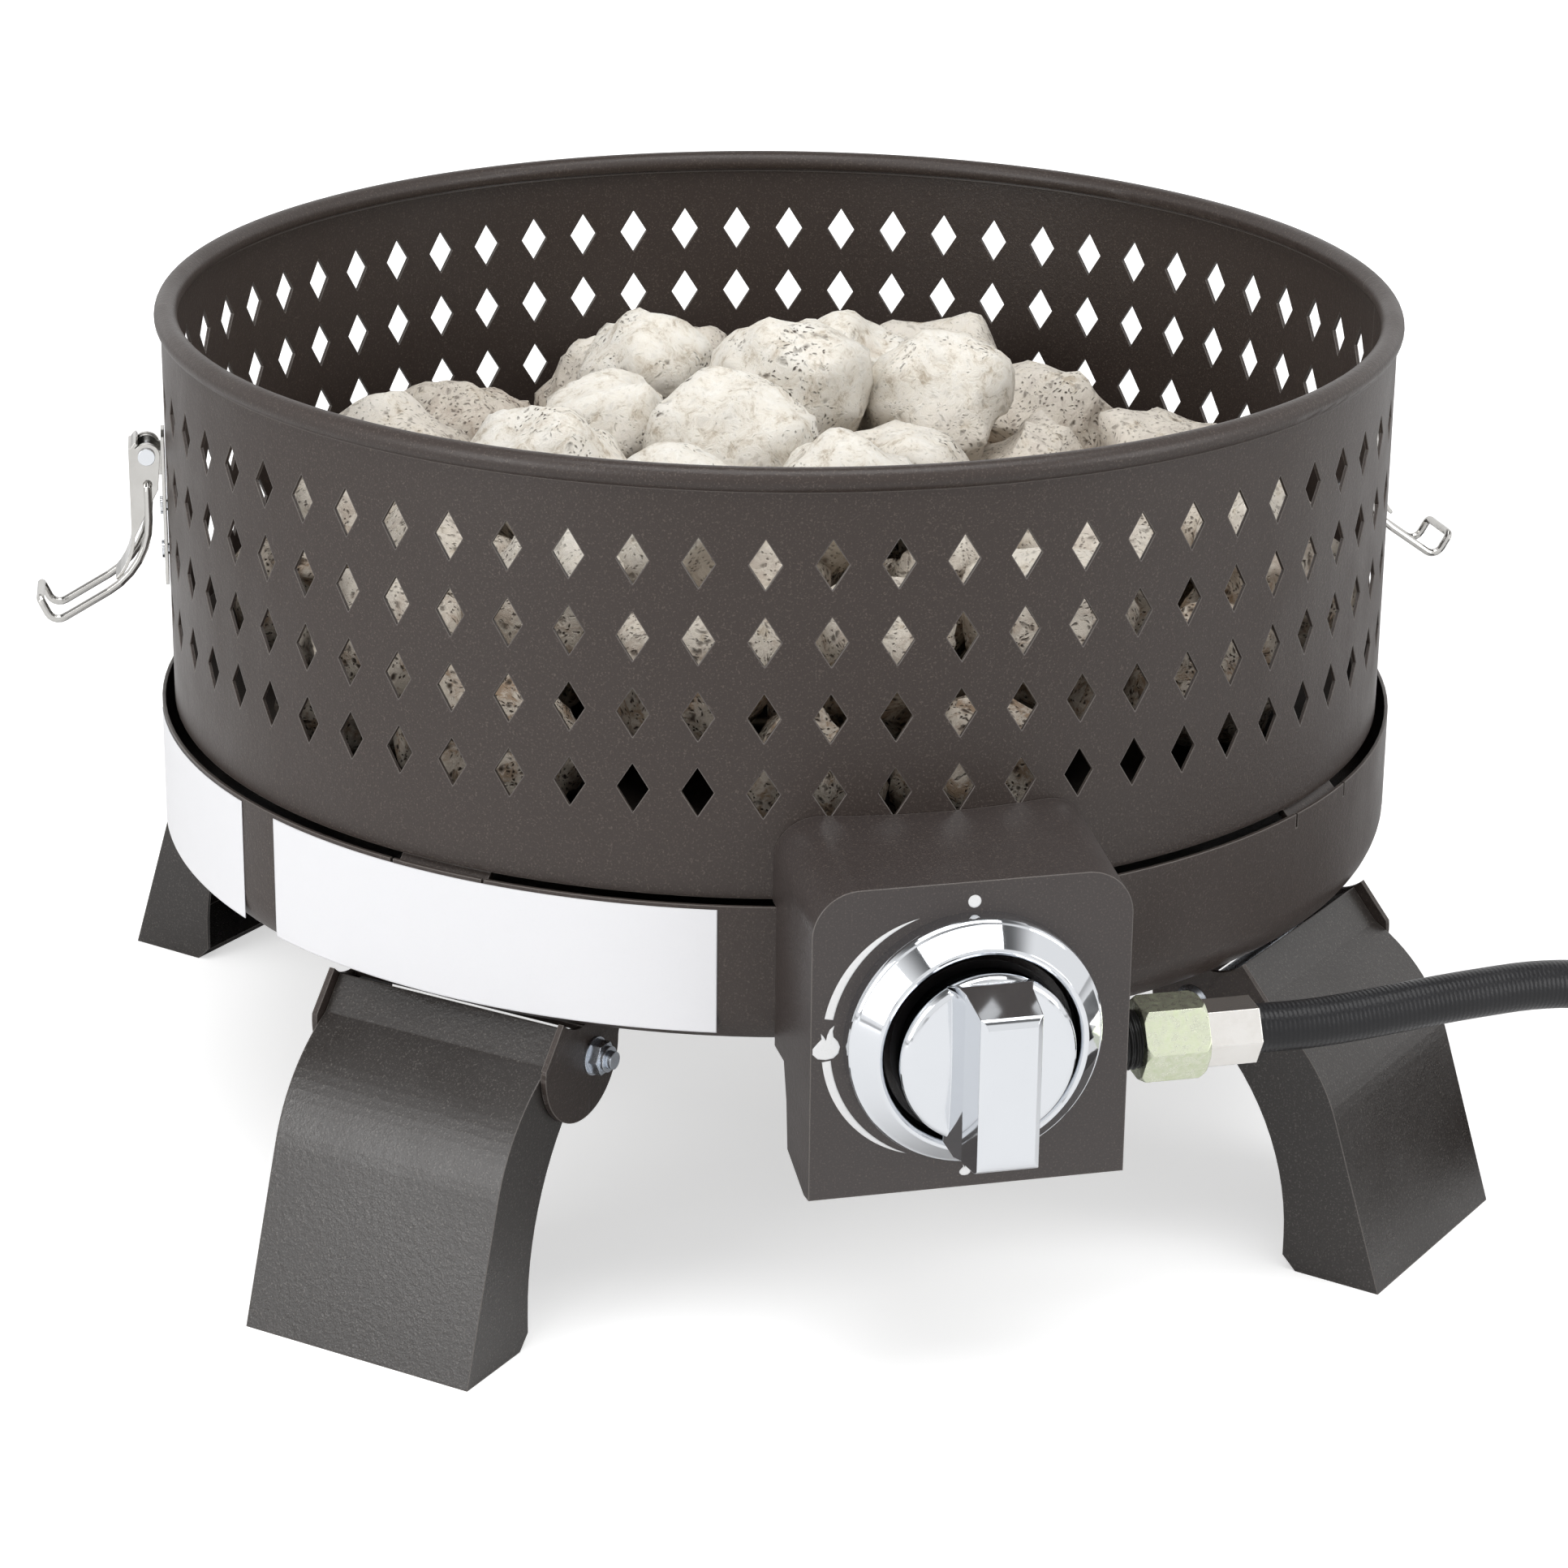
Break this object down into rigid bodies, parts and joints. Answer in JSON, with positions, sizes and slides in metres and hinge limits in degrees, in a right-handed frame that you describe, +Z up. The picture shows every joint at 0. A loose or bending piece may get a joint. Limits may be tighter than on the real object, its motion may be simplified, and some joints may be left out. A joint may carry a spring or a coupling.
{
  "type": "tabletop gas fire pit",
  "caption": "Round tabletop gas fire pit: perforated guard ring over a rock-filled burner pan, folding legs, front control knob, supply hose with regulator and side lid catches.",
  "frame": {"origin": "centre of the bounding box's underside, on the surface the four feet stand on, measured without the hose and its regulator", "axes": "+Z up, -Y towards the user at the control box, +X to the user's right, the side the hose leaves from"},
  "size_m": [0.7938, 0.5312, 0.2965],
  "materials": {
    "powder_coat": "speckled dark bronze powder coat",
    "inner_coat": "dark heat-proof coat",
    "box_coat": "satin dark bronze powder coat",
    "burner_steel": "bare steel with heat tint",
    "zinc_plate": "bright blue-white zinc plate",
    "yellow_plate": "yellow passivated plate",
    "valve_brass": "machined brass",
    "lava_rock": "pitted off-white lava rock",
    "bright_chrome": "polished chrome plate",
    "black_fitting": "blackened steel",
    "hose_rubber": "smooth black rubber",
    "regulator_grey": "matt grey casting",
    "black_plastic": "moulded matt plastic"
  },
  "bodies": {
    "fire_pit": {"ring_front": "powder_coat", "ring_rear": "powder_coat", "base_pan": "powder_coat", "rock_tray": "inner_coat", "burner": "burner_steel", "burner_screws": "zinc_plate", "mixing_tube": "burner_steel", "air_shutter": "burner_steel", "gas_orifice": "valve_brass", "valve_body": "valve_brass", "rocks_lower": "lava_rock", "rocks_upper": "lava_rock", "control_box": "box_coat", "box_screws": "zinc_plate", "bezel": "bright_chrome", "inlet_fitting": "black_fitting", "flare_nut": "yellow_plate", "hose_ferrule": "zinc_plate", "hose_lead": "hose_rubber", "hose_coil": "hose_rubber", "hose_tail": "hose_rubber", "regulator_ferrule": "zinc_plate", "regulator_body": "regulator_grey", "regulator_cap": "black_plastic", "cylinder_nipple": "valve_brass", "bracket_front_right": "powder_coat", "bracket_rear_right": "powder_coat", "bracket_rear_left": "powder_coat", "bracket_front_left": "powder_coat", "bracket_rivets": "zinc_plate", "pivot_bolts": "zinc_plate", "pivot_nuts": "zinc_plate", "latch_base_right": "bright_chrome", "latch_base_left": "bright_chrome", "latch_pins": "bright_chrome", "latch_rivets": "bright_chrome"},
    "leg_front_right": {"leg_front_right": "powder_coat"},
    "leg_rear_right": {"leg_rear_right": "powder_coat"},
    "leg_rear_left": {"leg_rear_left": "powder_coat"},
    "leg_front_left": {"leg_front_left": "powder_coat"},
    "push_collar": {"stem_collar": "zinc_plate"},
    "knob": {"knob": "bright_chrome", "valve_stem": "valve_brass"},
    "latch_lever_right": {"latch_lever_right": "bright_chrome"},
    "latch_lever_left": {"latch_lever_left": "bright_chrome"},
    "latch_bail_right": {"latch_bail_right": "bright_chrome"},
    "latch_bail_left": {"latch_bail_left": "bright_chrome"},
    "handwheel": {"cylinder_handwheel": "black_plastic"}
  },
  "joints": [
    {"name": "leg_front_right_fold", "type": "hinge", "parent": "fire_pit", "child": "leg_front_right", "pos_m": [0.13561, -0.10353, 0.09], "axis": [0.7254, 0.6884, 0], "range_deg": [0, 118]},
    {"name": "leg_rear_right_fold", "type": "hinge", "parent": "fire_pit", "child": "leg_rear_right", "pos_m": [0.13561, 0.18227, 0.09], "axis": [-0.7254, 0.6884, 0], "range_deg": [0, 118]},
    {"name": "leg_rear_left_fold", "type": "hinge", "parent": "fire_pit", "child": "leg_rear_left", "pos_m": [-0.13561, 0.18227, 0.09], "axis": [-0.7254, -0.6884, 0], "range_deg": [0, 118]},
    {"name": "leg_front_left_fold", "type": "hinge", "parent": "fire_pit", "child": "leg_front_left", "pos_m": [-0.13561, -0.10353, 0.09], "axis": [0.7254, -0.6884, 0], "range_deg": [0, 118]},
    {"name": "knob_push", "type": "slide", "parent": "fire_pit", "child": "push_collar", "axis": [0, 1, 0], "range_m": [0, 0.004]},
    {"name": "knob_turn", "type": "hinge", "parent": "push_collar", "child": "knob", "pos_m": [0, -0.22063, 0.1255], "axis": [0, -1, 0], "range_deg": [0, 180]},
    {"name": "latch_lever_right_lift", "type": "hinge", "parent": "fire_pit", "child": "latch_lever_right", "pos_m": [0.22138, 0.04672, 0.244], "axis": [0.0332, -0.9995, 0], "range_deg": [0, 85]},
    {"name": "latch_bail_right_swing", "type": "hinge", "parent": "latch_lever_right", "child": "latch_bail_right", "pos_m": [0.22138, 0.04672, 0.234], "axis": [0.0332, -0.9995, 0], "range_deg": [0, 60]},
    {"name": "latch_lever_left_lift", "type": "hinge", "parent": "fire_pit", "child": "latch_lever_left", "pos_m": [-0.22012, 0.06406, 0.244], "axis": [0.1115, 0.9938, 0], "range_deg": [0, 85]},
    {"name": "latch_bail_left_swing", "type": "hinge", "parent": "latch_lever_left", "child": "latch_bail_left", "pos_m": [-0.22012, 0.06406, 0.234], "axis": [0.1115, 0.9938, 0], "range_deg": [0, 60]},
    {"name": "handwheel_spin", "type": "hinge", "parent": "fire_pit", "child": "handwheel", "pos_m": [0.503, 0.15, 0.023], "axis": [0, 1, 0], "continuous": true}
  ]
}
